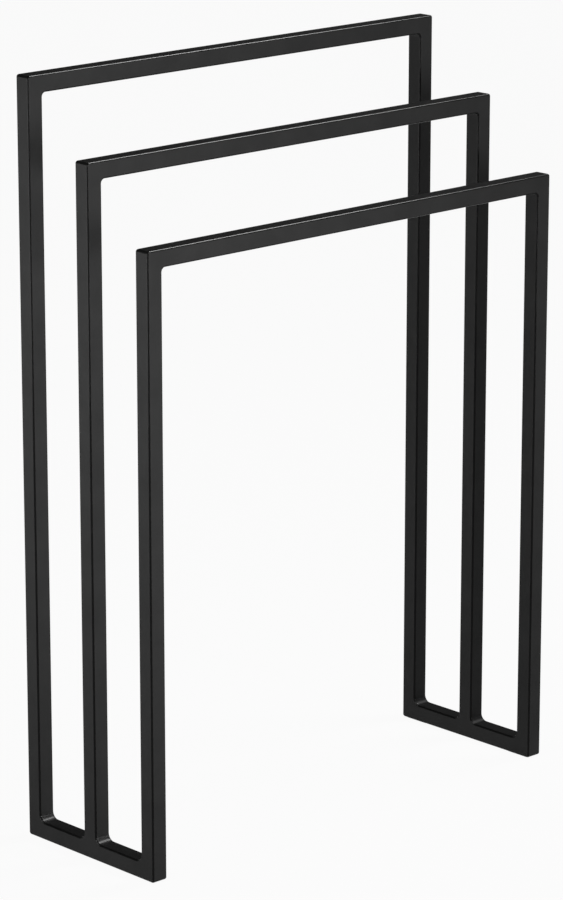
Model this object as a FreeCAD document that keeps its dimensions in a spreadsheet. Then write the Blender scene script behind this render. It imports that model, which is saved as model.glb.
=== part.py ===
import FreeCAD, Part
import Sketcher
import os
import re

# Freestanding towel stand: three portals of square steel tube, one behind the other and
# each lower than the one behind it, stand on two foot rails. Every tube is a piece of its
# own, mitred or butted against its neighbours, and every inside corner is filled with weld
# metal that is ground to a round. Millimetres, +Z up, Z = 0 is the floor, +X runs along the
# top rails and +Y to the back. The stand is centred on the Z axis.

SIZES = [
    ("overall_width", 610),   # over the outer sides of the uprights
    ("rear_height", 860),     # top of each portal above the floor
    ("middle_height", 780),
    ("front_height", 700),
    ("portal_pitch", 95),     # from one portal's middle plane to the next
    ("tube_size", 20),        # outside of the square tube
    ("tube_wall", 1.5),
    ("edge_round", 2),        # long edges of the tube
    ("corner_round", 4),      # outer corners, ground after welding
    ("weld_round", 6),        # inside corners, ground after welding
    ("weld_depth", 0.9),      # how far the weld metal reaches into the tube walls
    ("pad_thickness", 1),     # anti-slip pads under the foot rails
    ("pad_length", 32),
    ("pad_margin", 1),        # flat left bare round a pad under its rail
    ("pad_round", 1.5),       # corners of a pad
]

PORTALS = {"front": -1, "middle": 0, "rear": 1}
SIDES = {"left": -1, "right": 1}
FOOT_TOP = "pad_thickness + tube_size"

doc = FreeCAD.newDocument("TowelStand")


def make_sheet():
    """The driving dimensions, one named cell each."""
    sheet = doc.addObject("Spreadsheet::Sheet", "Sizes")
    for row, (name, value) in enumerate(SIZES, start=1):
        sheet.set("A%d" % row, name)
        sheet.set("B%d" % row, str(value))
        sheet.setAlias("B%d" % row, name)
    doc.recompute()


def bound(text):
    """The sheet expression for a sum that is written with the sheet's own names."""
    return re.sub(r"\b(?!sqrt)[a-z][a-z_]*", r"Sizes.\g<0>", text)


# --- sketches and features that every piece uses ---------------------------------------

def make_body(name):
    body = doc.addObject("PartDesign::Body", name)
    body.Label = name
    body.AllowCompound = True
    return body


def add_outline(sketch, points):
    """A closed outline of straight lines; each point is a pair of sums of sheet names."""
    first = sketch.GeometryCount
    count = len(points)
    for i in range(count):
        start = FreeCAD.Vector(i, i * i, 0)
        end = FreeCAD.Vector(i + 1, (i + 1) ** 2, 0)
        sketch.addGeometry(Part.LineSegment(start, end), False)
    for i in range(count):
        after = first + (i + 1) % count
        sketch.addConstraint(Sketcher.Constraint("Coincident", first + i, 2, after, 1))
    for i, place in enumerate(points):
        for kind, text in zip(("DistanceX", "DistanceY"), place):
            constraint = Sketcher.Constraint(kind, -1, 1, first + i, 1, 1.0)
            index = sketch.addConstraint(constraint)
            sketch.setExpression("Constraints[%d]" % index, bound(text))


def draw(body, role, name, outlines):
    """A sketch of closed outlines on one of the body's own origin planes."""
    sketch = body.newObject("Sketcher::SketchObject", body.Name + "_" + name)
    plane = [item for item in body.Origin.OriginFeatures if item.Role == role][0]
    sketch.AttachmentSupport = (plane, "")
    sketch.MapMode = "FlatFace"
    for points in outlines:
        add_outline(sketch, points)
    return sketch


def pad(body, role, name, outlines, length="tube_size"):
    """Material to the same depth on both sides of the sketch."""
    feature = body.newObject("PartDesign::Pad", body.Name + "_" + name)
    feature.Profile = draw(body, role, name + "_outline", outlines)
    feature.SideType = "Symmetric"
    feature.setExpression("Length", bound(length))
    doc.recompute()


def cut(body, role, name, outlines):
    """A pocket that goes right through, on both sides of the sketch."""
    before = body.Shape.Volume
    feature = body.newObject("PartDesign::Pocket", body.Name + "_" + name)
    feature.Profile = draw(body, role, name + "_outline", outlines)
    feature.Type = "ThroughAll"
    feature.SideType = "Symmetric"
    doc.recompute()
    if body.Shape.Volume >= before:
        raise RuntimeError(feature.Name + " took nothing away")


def dress(body, kind, name, size, wanted):
    """Fillet or chamfer the body, so far, along every edge that the test accepts."""
    base = body.Tip
    names = ["Edge%d" % i for i, edge in enumerate(base.Shape.Edges, start=1)
             if wanted(base.Shape, edge)]
    feature = body.newObject("PartDesign::" + kind, body.Name + "_" + name)
    feature.Base = (base, names)
    feature.setExpression({"Fillet": "Radius", "Chamfer": "Size"}[kind], bound(size))
    doc.recompute()


# --- tests that pick edges --------------------------------------------------------------

def middle_of(edge):
    return edge.valueAt((edge.FirstParameter + edge.LastParameter) / 2)


def normals_at(shape, edge):
    """The two faces that meet at an edge, with their outward normals at its middle."""
    point = middle_of(edge)
    faces = shape.ancestorsOfType(edge, Part.Face)
    return [(face, face.normalAt(*face.Surface.parameter(point))) for face in faces]


def is_sharp(shape, edge):
    pair = normals_at(shape, edge)
    return len(pair) == 2 and pair[0][1].dot(pair[1][1]) < 0.99


def runs_along(edge, axis):
    along = edge.Vertexes[-1].Point - edge.Vertexes[0].Point
    return edge.Curve.TypeId == "Part::GeomLine" and along.cross(axis).Length < 1e-6


def is_hollow(shape, edge):
    """True in an inside corner, where one face stands up from the plane of the other."""
    (_, normal), (other, _) = normals_at(shape, edge)
    return (other.CenterOfMass - middle_of(edge)).dot(normal) > 1e-6


# --- the ground weldment ----------------------------------------------------------------

def grind(body, is_corner):
    """Round the inside corners and then the outer ones, where the tubes meet."""
    dress(body, "Fillet", "weld_rounds", "weld_round",
          lambda shape, edge: is_corner(edge) and is_hollow(shape, edge))
    dress(body, "Fillet", "corner_rounds", "corner_round",
          lambda shape, edge: is_corner(edge) and is_sharp(shape, edge))


def round_edges(body):
    """The tube's rounded edges, carried round every corner."""
    dress(body, "Fillet", "edge_rounds", "edge_round", is_sharp)


def ease_edges(body):
    """The flat that the grinder leaves where the tubes' edges are round, and touching them."""
    dress(body, "Chamfer", "edge_flats", "edge_round * (2 - sqrt(2))", is_sharp)


def moved(place, direction, amount):
    """A sum of sheet names, moved one way (1) or the other (-1)."""
    return place + (" + " if direction > 0 else " - ") + amount


def weld_section(side, height, across, up):
    """Section of the weld metal in the inside corner at (side, height).

    The open space lies across (1 or -1) and up (1) or down (-1) from the corner. The weld
    metal dips steeply from each toe and then lies at one depth in both tube walls.
    """
    toe_side = moved(side, across, "weld_round")
    toe_height = moved(height, up, "weld_round")
    root_side = moved(side, -across, "weld_depth")
    root_height = moved(height, -up, "weld_depth")
    return [
        (toe_side, toe_height),
        (side, toe_height),
        (root_side, moved(toe_height, -up, "weld_depth")),
        (root_side, root_height),
        (moved(toe_side, -across, "weld_depth"), root_height),
        (toe_side, height),
    ]


def mitre_section(side, height, across, up, saws_upright):
    """The triangle that saws a mitre through the outer corner at (side, height).

    The saw line runs across (1 or -1) and up (1) or down (-1) from the outer corner. It
    leaves the upright or the level tube.
    """
    near = (moved(side, -across, "tube_size"), moved(height, -up, "tube_size"))
    far = (moved(side, across, "3 * tube_size"), moved(height, up, "3 * tube_size"))
    third = (far[0], near[1]) if saws_upright else (near[0], far[1])
    return [near, far, third]


def box_section(left, bottom, right, top):
    return [(left, bottom), (right, bottom), (right, top), (left, top)]


def bore(body, role, across, up):
    """The tube's inside, a square hole from end to end about the middle (across, up)."""
    half = "(tube_size / 2 - tube_wall)"
    cut(body, role, "bore", [box_section(
        moved(across, -1, half), moved(up, -1, half), moved(across, 1, half), moved(up, 1, half)
    )])


def keep_weld_metal(body, role, sections):
    """Ease the edges and cut everything away but the weld metal in the given corners."""
    ease_edges(body)
    around = box_section("-overall_width", "-rear_height", "overall_width", "2 * rear_height")
    cut(body, role, "weld_metal", [around] + sections)


def place_at_side(body, side):
    place = "%d * (overall_width - tube_size) / 2" % SIDES[side]
    body.setExpression("Placement.Base.x", bound(place))


def place_in_depth(body, portal):
    body.setExpression("Placement.Base.y", bound("%d * portal_pitch" % PORTALS[portal]))


# --- portals ------------------------------------------------------------------------------

def portal_top(name, portal):
    """A top rail with the beginnings of both its uprights, welded and ground."""
    body = make_body(name)
    top = portal + "_height"
    left, right = "-overall_width / 2", "overall_width / 2"
    upright_end = top + " - 2 * tube_size"
    pad(body, "XZ_Plane", "tubes", [[
        (left, top),
        (left, upright_end),
        (left + " + tube_size", upright_end),
        (left + " + tube_size", top + " - tube_size"),
        (right + " - tube_size", top + " - tube_size"),
        (right + " - tube_size", upright_end),
        (right, upright_end),
        (right, top),
    ]])
    grind(body, lambda edge: runs_along(edge, FreeCAD.Vector(0, 1, 0)))
    place_in_depth(body, portal)
    return body


def portal_welds(portal):
    height = portal + "_height - tube_size"
    return [
        weld_section("-overall_width / 2 + tube_size", height, 1, -1),
        weld_section("overall_width / 2 - tube_size", height, -1, -1),
    ]


def make_top_rail(portal):
    body = portal_top("top_rail_" + portal, portal)
    top = portal + "_height"
    round_edges(body)
    cut(body, "XZ_Plane", "mitres", [
        mitre_section("-overall_width / 2", top, 1, -1, False),
        mitre_section("overall_width / 2", top, -1, -1, False),
    ])
    cut(body, "XZ_Plane", "weld_beds", portal_welds(portal))
    bore(body, "YZ_Plane", "0", top + " - tube_size / 2")
    return body


def make_portal_welds(portal):
    body = portal_top("corner_welds_%s_portal" % portal, portal)
    keep_weld_metal(body, "XZ_Plane", portal_welds(portal))
    return body


# --- foot rails ---------------------------------------------------------------------------

def foot_frame(name, side):
    """A foot rail with the beginnings of its three uprights, welded and ground."""
    body = make_body(name)
    upright_end = FOOT_TOP + " + tube_size"
    front, rear = "-portal_pitch", "portal_pitch"
    pad(body, "YZ_Plane", "tubes", [[
        (front + " - tube_size / 2", "pad_thickness"),
        (rear + " + tube_size / 2", "pad_thickness"),
        (rear + " + tube_size / 2", upright_end),
        (rear + " - tube_size / 2", upright_end),
        (rear + " - tube_size / 2", FOOT_TOP),
        ("tube_size / 2", FOOT_TOP),
        ("tube_size / 2", upright_end),
        ("-tube_size / 2", upright_end),
        ("-tube_size / 2", FOOT_TOP),
        (front + " + tube_size / 2", FOOT_TOP),
        (front + " + tube_size / 2", upright_end),
        (front + " - tube_size / 2", upright_end),
    ]])
    grind(body, lambda edge: runs_along(edge, FreeCAD.Vector(1, 0, 0)))
    place_at_side(body, side)
    return body


def foot_welds():
    return [
        weld_section("-portal_pitch + tube_size / 2", FOOT_TOP, 1, 1),
        weld_section("-tube_size / 2", FOOT_TOP, -1, 1),
        weld_section("tube_size / 2", FOOT_TOP, 1, 1),
        weld_section("portal_pitch - tube_size / 2", FOOT_TOP, -1, 1),
    ]


def make_foot_rail(side):
    body = foot_frame("foot_rail_" + side, side)
    above_rail = FOOT_TOP + " + 2 * tube_size"
    round_edges(body)
    cut(body, "YZ_Plane", "joints", [
        mitre_section("-portal_pitch - tube_size / 2", "pad_thickness", 1, 1, False),
        mitre_section("portal_pitch + tube_size / 2", "pad_thickness", -1, 1, False),
        box_section("-portal_pitch / 3", FOOT_TOP, "portal_pitch / 3", above_rail),
    ])
    cut(body, "YZ_Plane", "weld_beds", foot_welds())
    bore(body, "XZ_Plane", "0", "pad_thickness + tube_size / 2")
    return body


def make_foot_welds(side):
    body = foot_frame("corner_welds_%s_foot" % side, side)
    keep_weld_metal(body, "YZ_Plane", foot_welds())
    return body


# --- uprights -----------------------------------------------------------------------------

def make_upright(side, portal):
    """An upright, drawn about its own axis with the top rail toward +X.

    The foot rail runs one way from the front and rear uprights and both ways from the
    middle one, which stands on it. A right-hand upright is turned half round.
    """
    body = make_body("upright_%s_%s" % (side, portal))
    top = portal + "_height"
    ways = {1: [1], -1: [-1], 0: [-1, 1]}[PORTALS[portal] * SIDES[side]]
    reach = {way: "%d * tube_size * 3 / 2" % way if way in ways else "%d * tube_size / 2" % way
             for way in (-1, 1)}
    pad(body, "XZ_Plane", "tube", [[
        ("-tube_size / 2", "pad_thickness"),
        ("tube_size / 2", "pad_thickness"),
        ("tube_size / 2", top + " - tube_size"),
        ("3 * tube_size / 2", top + " - tube_size"),
        ("3 * tube_size / 2", top),
        ("-tube_size / 2", top),
    ]])
    pad(body, "YZ_Plane", "foot", [box_section(reach[-1], "pad_thickness", reach[1], FOOT_TOP)])
    middle = body.Shape.BoundBox.Center.z
    grind(body, lambda edge: runs_along(
        edge, FreeCAD.Vector(0, 1, 0) if middle_of(edge).z > middle else FreeCAD.Vector(1, 0, 0)))
    round_edges(body)
    cut(body, "XZ_Plane", "top_mitre", [mitre_section("-tube_size / 2", top, 1, -1, True)])
    if len(ways) == 1:
        outer = "%d * tube_size / 2" % -ways[0]
        foot_joint = mitre_section(outer, "pad_thickness", ways[0], 1, True)
    else:
        foot_joint = box_section("-2 * tube_size", "-tube_size", "2 * tube_size", FOOT_TOP)
    cut(body, "YZ_Plane", "foot_joint", [foot_joint])
    cut(body, "XZ_Plane", "top_weld_bed",
        [weld_section("tube_size / 2", top + " - tube_size", 1, -1)])
    cut(body, "YZ_Plane", "foot_weld_beds",
        [weld_section("%d * tube_size / 2" % way, FOOT_TOP, way, 1) for way in ways])
    bore(body, "XY_Plane", "0", "0")
    body.Placement.Rotation = FreeCAD.Rotation(FreeCAD.Vector(0, 0, 1), 90 + 90 * SIDES[side])
    place_at_side(body, side)
    place_in_depth(body, portal)
    return body


# --- floor pads ---------------------------------------------------------------------------

def make_floor_pad(side, portal):
    """An anti-slip pad on the flat underside of a foot rail, near its end."""
    body = make_body("floor_pad_%s_%s" % (side, portal))
    half_width = "(tube_size / 2 - edge_round - pad_margin)"
    pad(body, "XZ_Plane", "sheet",
        [box_section("-" + half_width, "0", half_width, "pad_thickness")],
        "pad_length")
    dress(body, "Fillet", "corners", "pad_round",
          lambda shape, edge: runs_along(edge, FreeCAD.Vector(0, 0, 1)))
    place_at_side(body, side)
    from_middle = "(portal_pitch + tube_size / 2 - corner_round - pad_margin - pad_length / 2)"
    body.setExpression("Placement.Base.y", bound("%d * " % PORTALS[portal] + from_middle))
    return body


# --- the whole stand ----------------------------------------------------------------------

def check(pieces):
    for item in doc.Objects:
        if "Invalid" in item.State or "Error" in item.State:
            raise RuntimeError("%s is %s" % (item.Name, item.State))
    for body in pieces:
        if body.Shape.isNull() or not body.Shape.isValid() or not body.Shape.Solids:
            raise RuntimeError(body.Label + " has no sound shape")


def write(pieces):
    os.makedirs("parts", exist_ok=True)
    for body in pieces:
        body.Shape.exportStep("parts/%s.step" % body.Label)
        print("%-28s %d solid(s) %9.1f mm3" % (body.Label, len(body.Shape.Solids), body.Shape.Volume))


make_sheet()
stand = []
for portal in PORTALS:
    stand.append(make_top_rail(portal))
    stand.append(make_portal_welds(portal))
for side in SIDES:
    stand.append(make_foot_rail(side))
    stand.append(make_foot_welds(side))
    stand += [make_upright(side, portal) for portal in PORTALS]
    stand += [make_floor_pad(side, portal) for portal in PORTALS if PORTALS[portal]]
doc.recompute()
check(stand)
write(stand)
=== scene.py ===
# %% [markdown]
# # A freestanding towel stand
#
# Three portals of square steel tube, one behind the other and each taller than the one in
# front of it, stand on two foot rails. The whole stand is welded, its corners are ground
# round, and it is powder-coated satin black. Nothing on it moves.
#
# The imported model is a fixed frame: every piece here takes its size and place from it, and
# each replaces one of its nodes with the same part, finished more closely. All lengths are
# in metres. X runs along the top rails, Y to the back and Z up, and the floor is at zero.

# %% Load the frame
from math import radians

import bmesh
import bpy
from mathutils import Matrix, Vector


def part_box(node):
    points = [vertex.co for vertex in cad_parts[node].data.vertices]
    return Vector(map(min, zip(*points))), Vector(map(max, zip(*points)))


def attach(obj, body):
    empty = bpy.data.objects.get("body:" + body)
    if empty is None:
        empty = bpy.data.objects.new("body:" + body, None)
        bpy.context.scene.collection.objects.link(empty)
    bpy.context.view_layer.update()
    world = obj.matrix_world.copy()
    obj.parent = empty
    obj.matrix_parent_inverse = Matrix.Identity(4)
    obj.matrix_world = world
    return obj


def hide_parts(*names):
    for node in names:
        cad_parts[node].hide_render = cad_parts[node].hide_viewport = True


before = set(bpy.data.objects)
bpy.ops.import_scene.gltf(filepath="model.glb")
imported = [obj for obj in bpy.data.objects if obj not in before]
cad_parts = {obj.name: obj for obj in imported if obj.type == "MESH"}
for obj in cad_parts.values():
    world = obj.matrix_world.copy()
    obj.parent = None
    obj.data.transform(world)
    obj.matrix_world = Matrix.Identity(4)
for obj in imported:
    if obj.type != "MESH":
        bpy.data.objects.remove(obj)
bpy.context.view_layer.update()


def millimetres(values):
    return [round(1000 * value, 1) for value in values]


# %% [markdown]
# The sizes that a maker would read off the drawing. They could be typed in, but then this
# file and the frame could drift apart, so the tube, the heights and the depths are measured
# on the frame's own nodes. The ends of the top rails lose their sharp outer corners to the
# grinder, so the uprights say how wide the stand is.

# %% Sizes
PORTALS = ("front", "middle", "rear")
SIDES = (("left", -1), ("right", 1))

rail_low, rail_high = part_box("top_rail_front")
tube = rail_high.z - rail_low.z
half_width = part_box("upright_right_front")[1].x
front_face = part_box("upright_left_front")[0].y
rear_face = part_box("upright_left_rear")[1].y
foot_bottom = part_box("foot_rail_left")[0].z
foot_top = foot_bottom + tube
top = {portal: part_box("top_rail_" + portal)[1].z for portal in PORTALS}
depth = {portal: sum(p.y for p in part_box("top_rail_" + portal)) / 2 for portal in PORTALS}
print("tube and half width:", millimetres((tube, half_width)))
print("tops:", millimetres(top.values()), "depths:", millimetres(depth.values()))

# %% [markdown]
# Small helpers that do what a modeller does by hand: clear the selection, add a block, and
# pick faces or edges by where they are and how they lie. Picking by place, and not by
# number, keeps each step readable, and it still works when the frame's sizes change.


# %% Helpers: one object at a time
def only(piece):
    """Select one object and nothing else, in object mode."""
    if bpy.context.object and bpy.context.object.mode == "EDIT":
        bpy.ops.object.mode_set(mode="OBJECT")
    bpy.ops.object.select_all(action="DESELECT")
    bpy.context.view_layer.objects.active = piece
    piece.select_set(True)


def add_block(name, low, high):
    """A cube primitive that fills the box between two corners, with its place in its mesh."""
    low, high = Vector(low), Vector(high)
    bpy.ops.object.select_all(action="DESELECT")
    bpy.ops.mesh.primitive_cube_add(size=1, location=(low + high) / 2, scale=high - low)
    block = bpy.context.object
    block.name = block.data.name = name
    bpy.ops.object.transform_apply(location=True, rotation=True, scale=True)
    return block


# %% Helpers: picking in edit mode
def pick(piece, kind, wanted):
    """In edit mode, select the faces or edges whose middle and normal, or run, are wanted."""
    mesh = bmesh.from_edit_mesh(piece.data)
    bpy.ops.mesh.select_mode(type=kind)
    bpy.ops.mesh.select_all(action="DESELECT")
    count = 0
    if kind == "FACE":
        for face in mesh.faces:
            if wanted(face.calc_center_median(), face.normal):
                face.select_set(True)
                count += 1
    else:
        for edge in mesh.edges:
            a, b = (v.co for v in edge.verts)
            if wanted((a + b) / 2, (b - a).normalized()):
                edge.select_set(True)
                count += 1
    bmesh.update_edit_mesh(piece.data)
    return count


hair = 1e-5


def near(a, b):
    """Whether two numbers are the same, give or take a hair's breadth."""
    return abs(a - b) < hair


# %% [markdown]
# ## The frame as the welder leaves it
#
# The real stand is sawn tube, mitred at its corners, and after welding and grinding no joint
# shows: the rounded edges of the tube run on round every corner. Each tube could be modelled
# alone, but its rounded edges would then have to meet its neighbour's exactly, along a mitre.
# So the frame is first modelled as one skin, corners and all, and is then sawn into its real
# pieces, which meet by themselves.
#
# The skin starts as the left foot rail, cut through where the uprights stand.

# %% The left foot rail
skin = add_block("welded_frame", (-half_width, front_face, foot_bottom),
                 (-half_width + tube, rear_face, foot_top))
bpy.ops.object.mode_set(mode="EDIT")
for portal in PORTALS:
    for side_of_tube in (-1, 1):
        cut_y = depth[portal] + side_of_tube * tube / 2
        if not near(cut_y, front_face) and not near(cut_y, rear_face):
            bpy.ops.mesh.select_all(action="SELECT")
            bpy.ops.mesh.bisect(plane_co=(0, cut_y, 0), plane_no=(0, 1, 0))
print("foot rail cut into", len(bmesh.from_edit_mesh(skin.data).faces), "faces")

# %% [markdown]
# The three uprights are pulled up out of the rail, each to its own height, and then once more
# by a tube's size, which is the corner block. The top rails are pulled inward from those
# blocks, as far as the middle of the stand, because the other half is a mirror image.

# %% Uprights and top rails
for portal in PORTALS:
    pick(skin, "FACE", lambda at, normal: normal.z > 0.9 and near(at.y, depth[portal]))
    for step in (top[portal] - tube - foot_top, tube):
        bpy.ops.mesh.extrude_region_move(TRANSFORM_OT_translate={"value": (0, 0, step)})


def on_corner_block(at, normal):
    return normal.x > 0.9 and any(
        near(at.z, top[p] - tube / 2) and near(at.y, depth[p]) for p in PORTALS)


blocks = pick(skin, "FACE", on_corner_block)
bpy.ops.mesh.extrude_region_move(TRANSFORM_OT_translate={"value": (half_width - tube, 0, 0)})
pick(skin, "FACE", lambda at, normal: near(at.x, 0))
bpy.ops.mesh.delete(type="FACE")
bpy.ops.object.mode_set(mode="OBJECT")
print("top rails pulled out of", blocks, "corner blocks")

# %% [markdown]
# A Mirror modifier makes the right-hand side and joins the halves in the middle. A mirrored
# half can come out inside out, so the normals are made to agree. The edges that the cuts left
# on flat faces are dissolved, because a bevel would stumble over them.

# %% The right-hand side
mirror = skin.modifiers.new("other_side", "MIRROR")
mirror.use_axis = (True, False, False)
mirror.merge_threshold = hair
bpy.ops.object.modifier_apply(modifier="other_side")
bpy.ops.object.mode_set(mode="EDIT")
bpy.ops.mesh.select_all(action="SELECT")
bpy.ops.mesh.normals_make_consistent(inside=False)
bpy.ops.mesh.dissolve_limited(angle_limit=radians(1))
bpy.ops.object.mode_set(mode="OBJECT")
print("square frame:", len(skin.data.vertices), "corners,", len(skin.data.polygons), "faces")

# %% [markdown]
# ## Grinding
#
# A weld in an inside corner is a small heap of metal that the grinder turns into a smooth
# round: 5 mm under the top rails and, where the grinder reaches less well, 8 mm above the
# foot rails. The outer corners are eased to 3 mm. A bevel does both, and it has an odd number
# of segments, so that no vertex lies in the plane of a mitre, where the saw goes later.

# %% The rounds that the grinder leaves
portal_round = 0.005
foot_round = 0.008
outer_round = 0.003


def lies_along(run, axis):
    return near(abs(run[axis]), 1)


def in_portal_corner(at, run):
    return lies_along(run, 1) and any(
        near(at.z, top[p] - tube) and near(abs(at.x), half_width - tube) for p in PORTALS)


def in_foot_corner(at, run):
    return lies_along(run, 0) and near(at.z, foot_top)


def on_outer_corner(at, run):
    if lies_along(run, 1):
        return any(near(at.z, top[p]) and near(at.y, depth[p]) for p in PORTALS)
    on_foot_end = near(at.z, foot_bottom) and near(abs(at.y), rear_face)
    return lies_along(run, 0) and on_foot_end


# %% Grind the corners
only(skin)
bpy.ops.object.mode_set(mode="EDIT")
for place, wanted, radius, segments in (("portal", in_portal_corner, portal_round, 11),
                                        ("foot", in_foot_corner, foot_round, 13),
                                        ("outer", on_outer_corner, outer_round, 9)):
    corners = pick(skin, "EDGE", wanted)
    bpy.ops.mesh.bevel(offset=radius, segments=segments, affect="EDGES", clamp_overlap=False)
    print(corners, place, "corners ground to", radius)

# %% [markdown]
# Square tube is rolled, so all its long edges are round, here by 2 mm. They are bevelled
# last: every edge that is still sharp is a tube's edge by now, and the small round then
# follows the large ones round each corner, as it does on the ground frame.

# %% Round the long edges
edge_round = 0.002
bpy.ops.mesh.select_all(action="DESELECT")
bpy.ops.mesh.edges_select_sharp(sharpness=radians(60))
bpy.ops.mesh.bevel(offset=edge_round, segments=6, affect="EDGES", clamp_overlap=False)
bpy.ops.object.mode_set(mode="OBJECT")
print("ground frame:", len(skin.data.vertices), "vertices", len(skin.data.polygons), "faces")

# %% [markdown]
# ## The saw
#
# A piece is what a copy of the skin and a saw block have in common, and a Boolean modifier
# finds that. A block is a cube at the piece's place with its ends sliced off by Bisect, as a
# mitre saw would. Blocks stand half a millimetre proud of the tube, so that no two faces lie
# in one plane, which a Boolean dislikes.

# %% Helpers: sawing
proud = 0.0005


def add_saw_block(name, low, high, slices):
    """A block whose ends are sliced off; a slice is a point and the way to what falls off."""
    pairs = list(zip(low, high))
    block = add_block(name, [min(pair) for pair in pairs], [max(pair) for pair in pairs])
    bpy.ops.object.mode_set(mode="EDIT")
    for point, way_off in slices:
        bpy.ops.mesh.select_all(action="SELECT")
        bpy.ops.mesh.bisect(plane_co=point, plane_no=way_off, use_fill=True, clear_outer=True)
    bpy.ops.mesh.select_all(action="SELECT")
    bpy.ops.mesh.normals_make_consistent(inside=False)
    bpy.ops.object.mode_set(mode="OBJECT")
    return block


def joined(blocks):
    """Several blocks as one object."""
    only(blocks[0])
    for block in blocks:
        block.select_set(True)
    bpy.ops.object.join()
    return bpy.context.object


def saw(piece, operation, block):
    """Keep what lies inside the block (INTERSECT) or outside it (DIFFERENCE)."""
    only(piece)
    cut = piece.modifiers.new("saw", "BOOLEAN")
    cut.operation, cut.solver, cut.object = operation, "EXACT", block
    bpy.ops.object.modifier_apply(modifier="saw")
    bpy.data.objects.remove(block)


def copy_of_skin(name):
    """The whole welded frame once more, to be sawn down to one piece."""
    only(skin)
    bpy.ops.object.duplicate()
    piece = bpy.context.object
    piece.name = piece.data.name = name
    return piece


# %% [markdown]
# The weld metal is a part of its own. It sits in a shallow trough that melting leaves in both
# tubes, and it ends half a millimetre beyond its round, where the tube's own face is flat
# again. Its block is a small square bar in the corner, with two edges sliced off at 45
# degrees, which gives the trough its sloping ends.

# %% Blocks round the welds
weld_depth = 0.0009


def weld_bar(axis, low, high, corner, open_way, toe):
    """A bar along an axis in the inside corner of two tubes, which both lie behind open_way."""
    u, v = [i for i in range(3) if i != axis]
    at, way = dict(zip((u, v), corner)), dict(zip((u, v), open_way))
    start, end, slices = [0, 0, 0], [0, 0, 0], []
    start[axis], end[axis] = low, high
    for i in (u, v):
        start[i], end[i] = at[i] - way[i] * weld_depth, at[i] + way[i] * toe
    for a, b in ((u, v), (v, u)):
        point, way_off = [0, 0, 0], [0, 0, 0]
        point[a], point[b] = at[a], at[b] + way[b] * toe
        way_off[a], way_off[b] = -way[a], way[b]
        slices.append((point, way_off))
    return add_saw_block("weld_bar", start, end, slices)


def portal_welds(portal):
    """Bars in both corners under a top rail."""
    low, high, inner = depth[portal] - tube, depth[portal] + tube, half_width - tube
    toe = portal_round + proud
    return joined([weld_bar(1, low, high, (side * inner, top[portal] - tube), (-side, -1), toe)
                   for name, side in SIDES])


def foot_welds(side):
    """Bars in the four corners above a foot rail."""
    low, high = side * (half_width + tube / 2), side * (half_width - 3 * tube / 2)
    spots = ((depth["front"] + tube / 2, 1), (depth["middle"] - tube / 2, -1),
             (depth["middle"] + tube / 2, 1), (depth["rear"] - tube / 2, -1))
    toe = foot_round + proud
    return joined([weld_bar(0, low, high, (y, foot_top), (way, 1), toe) for y, way in spots])


print("weld metal reaches", weld_depth, "into the tubes")

# %% [markdown]
# ## The paint
#
# Powder coat is baked polyester: a neutral black, satin, with a fine orange-peel skin. A
# photograph of it could be wrapped on, but noise in object coordinates gives the grain at its
# real size and never shows a seam.
#
# While the powder melts it draws back from the rounds of the tube, so there the coat is
# thinner and smoother, and the colour there is darkened as a painted shade, which draws a dark
# line along every edge. On the rounds that face up the coat also levels out to a gloss, and
# that is why lamps make a bright line there and nowhere else. The rounds are found from the
# surface's own direction: on a flat of this square frame the normal lies along one axis, and
# on a round it doesn't.


# %% Helpers: building a material
def new_material(name):
    """A material, its node tree and the shader in it."""
    material = bpy.data.materials.new(name)
    material.use_nodes = True
    return material, material.node_tree, material.node_tree.nodes["Principled BSDF"]


def add_node(tree, kind, settings=None, **inputs):
    """A node; each input is named, or numbered as _0, and a value or another node's socket."""
    node = tree.nodes.new(kind)
    for key, value in (settings or {}).items():
        setattr(node, key, value)
    for key, value in inputs.items():
        by_number = key[1:].isdigit()
        socket = node.inputs[int(key[1:]) if by_number else key.replace("_", " ")]
        if isinstance(value, bpy.types.NodeSocket):
            tree.links.new(value, socket)
        else:
            socket.default_value = value
    return node


# %% Helpers: noise and sums in a material
def grain(tree, place, scale, detail=2.0):
    """Noise with features about 1/scale metres apart."""
    noise = add_node(tree, "ShaderNodeTexNoise", Vector=place, Scale=scale, Detail=detail)
    return noise.outputs["Fac"]


def spread(tree, value, low, high, start=0.0, end=1.0):
    """The value, stretched from start..end to low..high and held there."""
    node = add_node(tree, "ShaderNodeMapRange", Value=value, From_Min=start, From_Max=end,
                    To_Min=low, To_Max=high)
    return node.outputs["Result"]


def calculate(tree, operation, first, second=0.0):
    node = add_node(tree, "ShaderNodeMath", {"operation": operation}, _0=first, _1=second)
    return node.outputs[0]


def grey(tree, value):
    return add_node(tree, "ShaderNodeCombineColor", _0=value, _1=value, _2=value).outputs[0]


# %% Find the rounds
def fade_in(tree, value, limits):
    """0 up to the first limit and 1 from the second on, with a slope between them."""
    return spread(tree, value, 0.0, 1.0, start=limits[0], end=limits[1])


def directions(tree):
    """Place on the piece, how far the surface faces along X, Y and Z, and how far it faces up."""
    coordinates = add_node(tree, "ShaderNodeTexCoord").outputs
    normal = coordinates["Normal"]
    size = add_node(tree, "ShaderNodeVectorMath", {"operation": "ABSOLUTE"}, _0=normal)
    axes = add_node(tree, "ShaderNodeSeparateXYZ", _0=size.outputs[0]).outputs
    height = add_node(tree, "ShaderNodeSeparateXYZ", _0=normal).outputs[2]
    return coordinates["Object"], axes, height
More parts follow.
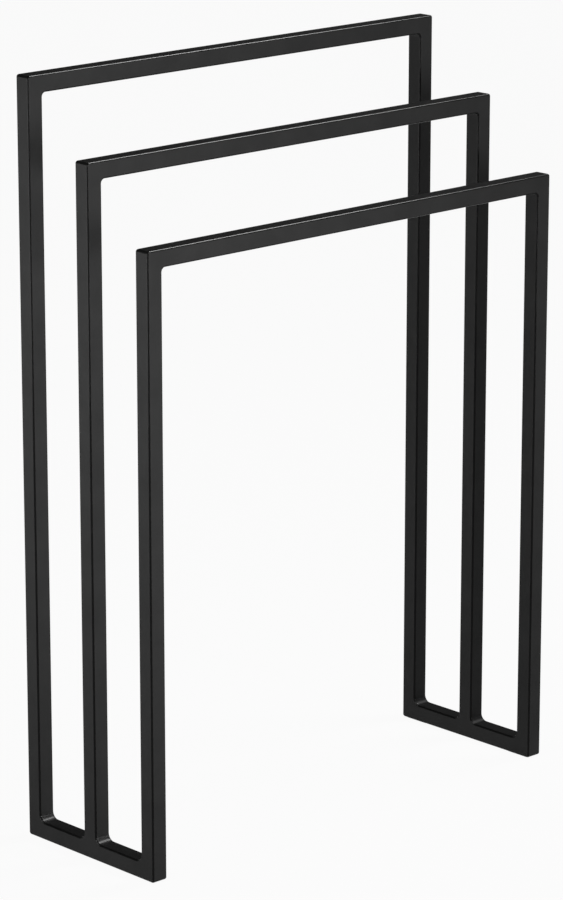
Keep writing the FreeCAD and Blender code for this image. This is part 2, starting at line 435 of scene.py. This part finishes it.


# %% [markdown]
# The tubes and the welds get the same powder, but not the same look. The long edge of a tube
# is a tight round, while the round of a weld is wide, so the coat stays thick on it and gets
# no painted edge shade, and a lamp draws a broad soft band there. So one recipe makes three
# paints: one for the tubes and one for each way that a weld runs. On a weld, every direction
# across its own axis counts as flat for the painted shade and the smoother coat, and only the
# tight edges at its two ends count as round.


# %% Where the coat is glossy, and where it is thin, smoother and darkened as a painted shade
# how far the surface faces one way where each of these begins, and where it is full
glossy_round = (0.995, 0.94)
# the rounds whose colour is darkened as a painted shade, and whose coat is smoother
shaded_smooth_round = (0.998, 0.97)
turned_up = (0.2, 0.5)


def coat_on_rounds(tree, axes, height, weld_axis):
    """How glossy the coat is, and where it is thin, smoother and darkened as a painted shade, both
    from 0 to 1.
    """
    straight = calculate(tree, "MAXIMUM", axes[0], calculate(tree, "MAXIMUM", axes[1], axes[2]))
    on_round, facing_up = fade_in(tree, straight, glossy_round), fade_in(tree, height, turned_up)
    glossy = calculate(tree, "MULTIPLY", on_round, facing_up)
    if weld_axis is None:
        return glossy, fade_in(tree, straight, shaded_smooth_round)
    along = axes[weld_axis]
    rest = calculate(tree, "SUBTRACT", 1.0, calculate(tree, "MULTIPLY", along, along))
    across = calculate(tree, "SQRT", rest)
    return glossy, fade_in(tree, calculate(tree, "MAXIMUM", along, across), shaded_smooth_round)


# %% The recipe of the paint
# what the thin coat on the edges keeps of the flat's roughness, and of the flat's brightness as a
# painted shade
painted_edge_shade = 0.08
thin_roughness = 0.4


def powder_coat(name, weld_axis=None, coat_ior=1.5, coat_roughness=0.28):
    paint, tree, shader = new_material(name)
    place, axes, height = directions(tree)
    glossy, shaded_smooth_edge = coat_on_rounds(tree, axes, height, weld_axis)

    # neutral black, a little cloudy, and darker where the coat is thin, a painted shade along
    # every edge
    clouds = grain(tree, place, 30.0, detail=3.0)
    flat_black = spread(tree, clouds, 0.027, 0.033, start=0.3, end=0.7)
    black = calculate(tree, "MULTIPLY", flat_black, spread(tree, shaded_smooth_edge, 1.0, painted_edge_shade))
    tree.links.new(grey(tree, black), shader.inputs["Base Color"])

    # satin on the flats, smoother where the coat is thin, and a gloss on rounds that face up
    satin = spread(tree, grain(tree, place, 140.0), 0.46, 0.54, start=0.3, end=0.7)
    roughness = calculate(tree, "MULTIPLY", satin, spread(tree, shaded_smooth_edge, 1.0, thin_roughness))
    tree.links.new(roughness, shader.inputs["Roughness"])
    shader.inputs["Specular IOR Level"].default_value = 0.08
    tree.links.new(glossy, shader.inputs["Coat Weight"])
    shader.inputs["Coat Roughness"].default_value = coat_roughness
    shader.inputs["Coat IOR"].default_value = coat_ior

    # orange peel
    peel = add_node(tree, "ShaderNodeBump", Strength=0.05, Distance=0.00012,
                    Height=grain(tree, place, 900.0, detail=1.0))
    tree.links.new(peel.outputs["Normal"], shader.inputs["Normal"])
    print(name, "has", len(tree.nodes), "nodes")
    return paint


# %% The paints
paint = powder_coat("satin_black_powder_coat")
portal_weld_paint = powder_coat("powder_coat_on_portal_welds", weld_axis=1, coat_ior=1.65)
foot_weld_paint = powder_coat("powder_coat_on_foot_welds", weld_axis=0, coat_ior=1.6,
                              coat_roughness=0.36)

# %% [markdown]
# The pads under the feet are black rubber, duller than the paint and finely pored. Real foam
# rubber could be modelled pore by pore, but the pores are a tenth of a millimetre, so a bump
# from the same noise that mottles the colour is enough.

# %% Rubber of the pads
rubber, tree, shader = new_material("pad_rubber")
place = add_node(tree, "ShaderNodeTexCoord").outputs["Object"]
speck = grain(tree, place, 1800.0, detail=4.0)
dark = spread(tree, speck, 0.012, 0.03, start=0.3, end=0.7)
tree.links.new(grey(tree, dark), shader.inputs["Base Color"])
tree.links.new(spread(tree, speck, 0.75, 0.95), shader.inputs["Roughness"])
shader.inputs["Specular IOR Level"].default_value = 0.2
pores = add_node(tree, "ShaderNodeBump", Strength=0.5, Distance=0.0002, Height=speck)
tree.links.new(pores.outputs["Normal"], shader.inputs["Normal"])
print("rubber nodes:", len(tree.nodes))

# %% [markdown]
# ## Finishing a piece
#
# Every piece ends the same way. Vertices that a cut left on top of each other are merged,
# faces that meet at a small angle are shaded smooth, and weighted normals let the large flat
# faces win over the slim ones of a round, so flats look flat. Then the piece is painted and
# takes the place of its node in the frame.


# %% Helper: finish a piece
same_place = 2e-6


def finish_piece(piece, node, material):
    """Merge, smooth and paint a piece, and let it stand for its node."""
    only(piece)
    piece.data.materials.clear()
    piece.data.materials.append(material)
    bpy.ops.object.mode_set(mode="EDIT")
    bpy.ops.mesh.select_all(action="SELECT")
    bpy.ops.mesh.remove_doubles(threshold=same_place)
    bpy.ops.object.mode_set(mode="OBJECT")
    bpy.ops.object.shade_smooth_by_angle(angle=radians(35))
    flats = piece.modifiers.new("flat_faces", "WEIGHTED_NORMAL")
    flats.keep_sharp = True
    bpy.ops.object.modifier_apply(modifier="flat_faces")
    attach(piece, "root")
    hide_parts(node)
    low, high = Vector(piece.bound_box[0]), Vector(piece.bound_box[6])
    print(node, millimetres(high - low), "mm,", len(piece.data.polygons), "faces")


# %% [markdown]
# ## Top rails
#
# A towel hangs over each of these. On the real stand a rail is a tube sawn at 45 degrees at
# both ends, so it is longer above than below, and the mitre hides the open end of the tube.
# The bore is taken out right through, because such stands are light, thin-walled tube. The
# two welds under each rail come from the same skin, so their rounds run on into the rail's.

# %% Top rails and their welds
wall = 0.0015
for portal in PORTALS:
    y, high, low = depth[portal], top[portal], top[portal] - tube
    rail = copy_of_skin("painted_top_rail_" + portal)
    mitres = [((side * half_width, y, high), (side, 0, -1)) for name, side in SIDES]
    saw(rail, "INTERSECT", add_saw_block(
        "saw_block", (-half_width - proud, y - tube, low - proud),
        (half_width + proud, y + tube, high + proud), mitres))
    bore = add_block("bore", (-half_width, y - tube / 2 + wall, low + wall),
                     (half_width, y + tube / 2 - wall, high - wall))
    saw(rail, "DIFFERENCE", joined([portal_welds(portal), bore]))
    finish_piece(rail, "top_rail_" + portal, paint)

    welds = copy_of_skin("painted_corner_welds_%s_portal" % portal)
    saw(welds, "INTERSECT", portal_welds(portal))
    finish_piece(welds, "corner_welds_%s_portal" % portal, portal_weld_paint)

# %% [markdown]
# ## Foot rails
#
# These carry the stand and keep it from tipping. They are mitred into the front and rear
# uprights, and the middle upright stands on them. The skin runs on up into that upright, so
# its beginning is sawn off level with the rail's top.

# %% Foot rails and their welds
for name, side in SIDES:
    x = side * (half_width - tube / 2)
    rail = copy_of_skin("painted_foot_rail_" + name)
    mitres = [((x, front_face, foot_bottom), (0, -1, 1)), ((x, rear_face, foot_bottom), (0, 1, 1))]
    saw(rail, "INTERSECT", add_saw_block(
        "saw_block", (x - tube, front_face - proud, foot_bottom - proud),
        (x + tube, rear_face + proud, foot_top + proud), mitres))
    reach = tube / 2 + foot_round / 2
    saw(rail, "DIFFERENCE", add_block("stub", (x - tube, depth["middle"] - reach, foot_top),
                                      (x + tube, depth["middle"] + reach, foot_top + tube)))
    bore = add_block("bore", (x - tube / 2 + wall, front_face - tube, foot_bottom + wall),
                     (x + tube / 2 - wall, rear_face + tube, foot_top - wall))
    saw(rail, "DIFFERENCE", joined([foot_welds(side), bore]))
    finish_piece(rail, "foot_rail_" + name, paint)

    welds = copy_of_skin("painted_corner_welds_%s_foot" % name)
    saw(welds, "INTERSECT", foot_welds(side))
    finish_piece(welds, "corner_welds_%s_foot" % name, foot_weld_paint)

# %% [markdown]
# ## Uprights
#
# Six tubes in three lengths. Each is mitred at the top into its rail. The front and the rear
# ones are mitred at the bottom too, across the first mitre, and the middle one is sawn off
# square where it stands on the foot rail.

# %% Uprights
for name, side in SIDES:
    x_out, x_in = side * half_width, side * (half_width - tube)
    x, inside = (x_out + x_in) / 2, tube / 2 - wall
    for portal in PORTALS:
        y, high, half = depth[portal], top[portal], tube / 2 + proud
        mitres = [((x_out, y, high), (-side, 0, 1))]
        bottom = foot_top
        if portal != "middle":
            way = 1 if portal == "front" else -1
            mitres.append(((x, y - way * tube / 2, foot_bottom), (0, way, -1)))
            bottom = foot_bottom - proud
        upright = copy_of_skin("painted_upright_%s_%s" % (name, portal))
        saw(upright, "INTERSECT", add_saw_block(
            "saw_block", (x_out + side * proud, y - half, bottom),
            (x_in - side * proud, y + half, high + proud), mitres))
        bore = add_block("bore", (x - inside, y - inside, -tube),
                         (x + inside, y + inside, high + tube))
        saw(upright, "DIFFERENCE", joined([bore, portal_welds(portal), foot_welds(side)]))
        finish_piece(upright, "upright_%s_%s" % (name, portal), paint)

# %% [markdown]
# ## Pads
#
# A thin strip of rubber is glued under each end of the foot rails, so that the stand neither
# slides on wet tiles nor scratches them. It is punched out of sheet, so its corners are round
# and its edges barely eased. One is modelled, and the others are copies of it, moved to their
# nodes' places. Each copy has a mesh of its own, as each real pad is a piece of its own.

# %% One pad
pad_corner = 0.0015
pad_edge = 0.0002
pad_nodes = ["floor_pad_%s_%s" % (name, portal)
             for name, side in SIDES for portal in ("front", "rear")]
pad_low, pad_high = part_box(pad_nodes[0])
first_pad = add_block("anti_slip_pad", pad_low, pad_high)
bpy.ops.object.mode_set(mode="EDIT")
pick(first_pad, "EDGE", lambda at, run: lies_along(run, 2))
bpy.ops.mesh.bevel(offset=pad_corner, segments=6, affect="EDGES", clamp_overlap=False)
pick(first_pad, "FACE", lambda at, normal: abs(normal.z) > 0.9)
bpy.ops.mesh.bevel(offset=pad_edge, segments=3, affect="EDGES", clamp_overlap=False)
bpy.ops.object.mode_set(mode="OBJECT")
print("pad faces:", len(first_pad.data.polygons))

# %% Its copies
pads = [first_pad]
for node in pad_nodes[1:]:
    only(first_pad)
    bpy.ops.object.duplicate()
    bpy.ops.transform.translate(value=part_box(node)[0] - pad_low)
    bpy.ops.object.transform_apply(location=True, rotation=False, scale=False)
    pads.append(bpy.context.object)
for pad, node in zip(pads, pad_nodes):
    pad.name = pad.data.name = node.replace("floor_pad", "anti_slip_pad")
    finish_piece(pad, node, rubber)

# %% [markdown]
# ## Floor
#
# One large plane, white enough to melt into a white page. More light on it would do that too,
# but it would also wash out the paint, so the floor's own material shows white to the camera
# and to reflections, and a small share of it stays an ordinary lit surface, which keeps a
# trace of the stand's shadow.

# %% Floor
floor_width = 2000
floor_grey = 0.85
share_shown_white = 0.95
bpy.ops.object.select_all(action="DESELECT")
bpy.ops.mesh.primitive_plane_add(size=floor_width, location=(0, 0, 0))
floor = bpy.context.object
floor.name = "floor"
white, tree, shader = new_material("white_floor")
shader.inputs["Base Color"].default_value = (floor_grey, floor_grey, floor_grey, 1)
shader.inputs["Roughness"].default_value = 0.9
paper = add_node(tree, "ShaderNodeEmission", Color=(1, 1, 1, 1), Strength=1.0)
ray = add_node(tree, "ShaderNodeLightPath").outputs
seen = calculate(tree, "MAXIMUM", ray["Is Camera Ray"],
                 calculate(tree, "MAXIMUM", ray["Is Glossy Ray"], ray["Is Transmission Ray"]))
shown = calculate(tree, "MULTIPLY", seen, share_shown_white)
mixed = add_node(tree, "ShaderNodeMixShader", _0=shown, _1=shader.outputs[0], _2=paper.outputs[0])
tree.links.new(mixed.outputs[0], tree.nodes["Material Output"].inputs["Surface"])
floor.data.materials.append(white)
print("floor", floor.dimensions.x, "m across")

# %% [markdown]
# ## Camera
#
# The photographer stood about four and a half metres away, a little above the stand and to
# its front left, with a long lens. The angles come from fitting the stand's known corners to
# the picture. The picture's uprights are parallel, as after perspective correction, and a
# shifted lens could copy that, but it would push the object out of every other view, so the
# camera is tilted down instead and its uprights draw together very slightly.

# %% Camera
heading, tilt = radians(43.234), radians(15.163)
stand_point = (-2.9498, -3.1205, 1.5738)
focal_length = 158.24  # in millimetres
bpy.ops.object.camera_add(location=stand_point, rotation=(radians(90) - tilt, 0, -heading))
camera = bpy.context.object
camera.data.lens = focal_length
camera.data.clip_start, camera.data.clip_end = 0.1, 1.5 * floor_width
bpy.context.scene.camera = camera
print("camera at", millimetres(camera.location), "mm, lens", focal_length)

# %% [markdown]
# ## Light
#
# Black satin is lit by what it faces. A soft box on the left lights the sides of the tubes,
# and a low one beyond it reaches the feet and the inner sides on the right. A slim one stands
# straight before the right-hand uprights: it lights all the fronts, while each upright there
# keeps the one behind it in its shadow. A second slim one, with a narrow beam, brightens only
# the left-hand fronts and fills the shadow that each top rail casts there. A lamp high on the
# right draws the bright line on the upper edges and on the welds above the foot rails. The
# world adds very little. The lamps are no stronger than shows each colour about as it is
# written.


# %% Light
def add_softbox(name, place, target, size, opening, power):
    """A lamp turned to its target, with its beam's opening in degrees and its power in watts."""
    bpy.ops.object.light_add(type="AREA", location=place)
    lamp = bpy.context.object
    lamp.name = name
    lamp.data.shape = "RECTANGLE"
    lamp.data.size, lamp.data.size_y = size
    lamp.data.energy = power
    lamp.data.spread = radians(opening)
    lamp.rotation_euler = (Vector(target) - Vector(place)).to_track_quat("-Z", "Y").to_euler()
    lamp.visible_camera = False
    print(name, power, "W")


add_softbox("left_softbox", (-1.2, 0.25, 0.6), target=(-0.3, 0, 0.7),
            size=(0.5, 0.6), opening=70, power=1.5)
add_softbox("low_left_softbox", (-2.6, 0.15, 0.3), target=(0.3, 0, 0.1),
            size=(0.5, 0.4), opening=24, power=0.33)
add_softbox("front_strip", (0.3, -2.0, 0.6), target=(-0.2, 0, 0.7),
            size=(0.16, 1.1), opening=60, power=3.2)
add_softbox("left_front_strip", (-0.95, -2.0, 0.65), target=(-0.36, 0, 0.65),
            size=(0.3, 1.1), opening=26, power=0.6)
add_softbox("high_lamp", (1.14, -0.36, 2.22), target=(-0.05, 0, 0.72),
            size=(0.55, 0.7), opening=180, power=18.5)

# %% World
world_light = 0.05
world = bpy.data.worlds.new("studio")
bpy.context.scene.world = world
world.use_nodes = True
sky = world.node_tree.nodes["Background"]
sky.inputs["Color"].default_value = (1, 1, 1, 1)
sky.inputs["Strength"].default_value = world_light
bpy.context.scene.view_settings.view_transform = "Standard"
print("world light", world_light)

# %% [markdown]
# ## Finish
#
# The skin has done its work and goes.

# %% Finish
bpy.data.objects.remove(skin)
